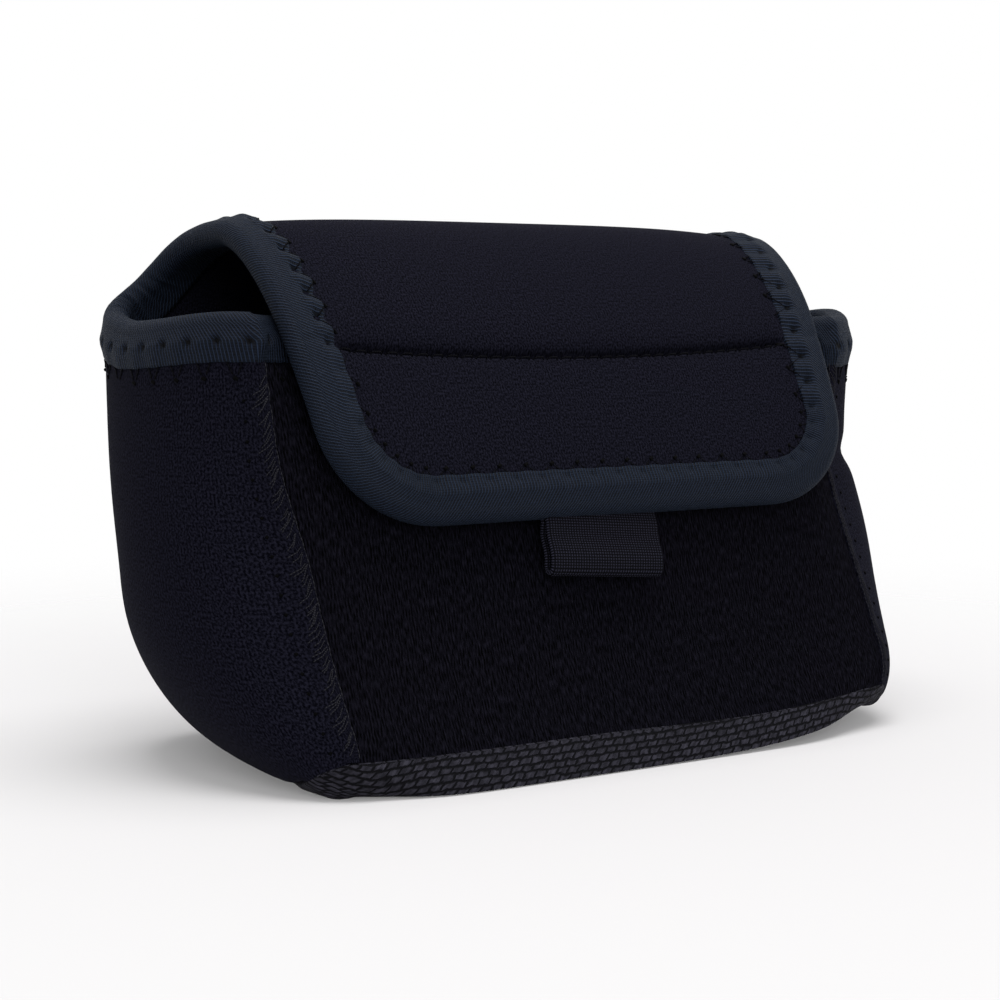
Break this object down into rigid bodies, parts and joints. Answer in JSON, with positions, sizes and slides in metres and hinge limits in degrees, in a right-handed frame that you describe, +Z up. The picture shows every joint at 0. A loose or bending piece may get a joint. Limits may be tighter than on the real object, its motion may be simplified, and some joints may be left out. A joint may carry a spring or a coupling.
{
  "type": "camera pouch",
  "caption": "Soft upright camera pouch with swelling side gussets, a textured base and a bound flap that arches over the mouth and comes down in front, with a webbing pull tab.",
  "frame": {"origin": "on the flat underside of the base, midway between the left and right sides and near the middle of the depth", "axes": "+Z up, -Y towards the front, where the flap closes, +X towards the pouch's right-hand end as seen from the front, along its length"},
  "size_m": [0.16, 0.079, 0.0995],
  "materials": {
    "neoprene": "fine matt jersey on foam",
    "pile": "brushed loop pile, dull",
    "binding": "finely ribbed knit tape, soft sheen",
    "base_weave": "coarse non-slip weave with a low gloss",
    "webbing": "tightly woven tape, slight gloss",
    "thread": "sewing thread",
    "hook": "fine stiff hooks"
  },
  "bodies": {
    "pouch": {"base_panel": "base_weave", "front_panel": "pile", "back_panel": "neoprene", "left_gusset": "neoprene", "right_gusset": "neoprene", "front_rim_binding": "binding", "left_rim_binding": "binding", "right_rim_binding": "binding", "front_left_seam": "thread", "front_right_seam": "thread", "back_left_seam": "thread", "back_right_seam": "thread"},
    "flap": {"flap_top": "neoprene", "flap_left_binding": "binding", "flap_right_binding": "binding"},
    "flap_front": {"flap_front": "neoprene", "flap_front_binding": "binding", "hook_tape": "hook"},
    "pull_tab": {"pull_tab": "webbing"}
  },
  "joints": [
    {"name": "flap_fold", "type": "hinge", "parent": "pouch", "child": "flap", "pos_m": [0, 0.0393, 0.0806], "axis": [-1, 0, 0], "range_deg": [0, 165]},
    {"name": "flap_peel", "type": "hinge", "parent": "flap", "child": "flap_front", "pos_m": [0, -0.0148, 0.0762], "axis": [-1, 0, 0], "range_deg": [0, 65]},
    {"name": "tab_lift", "type": "hinge", "parent": "flap_front", "child": "pull_tab", "pos_m": [-0.003, -0.02904, 0.04444], "axis": [-1, 0, 0], "range_deg": [0, 70]}
  ]
}
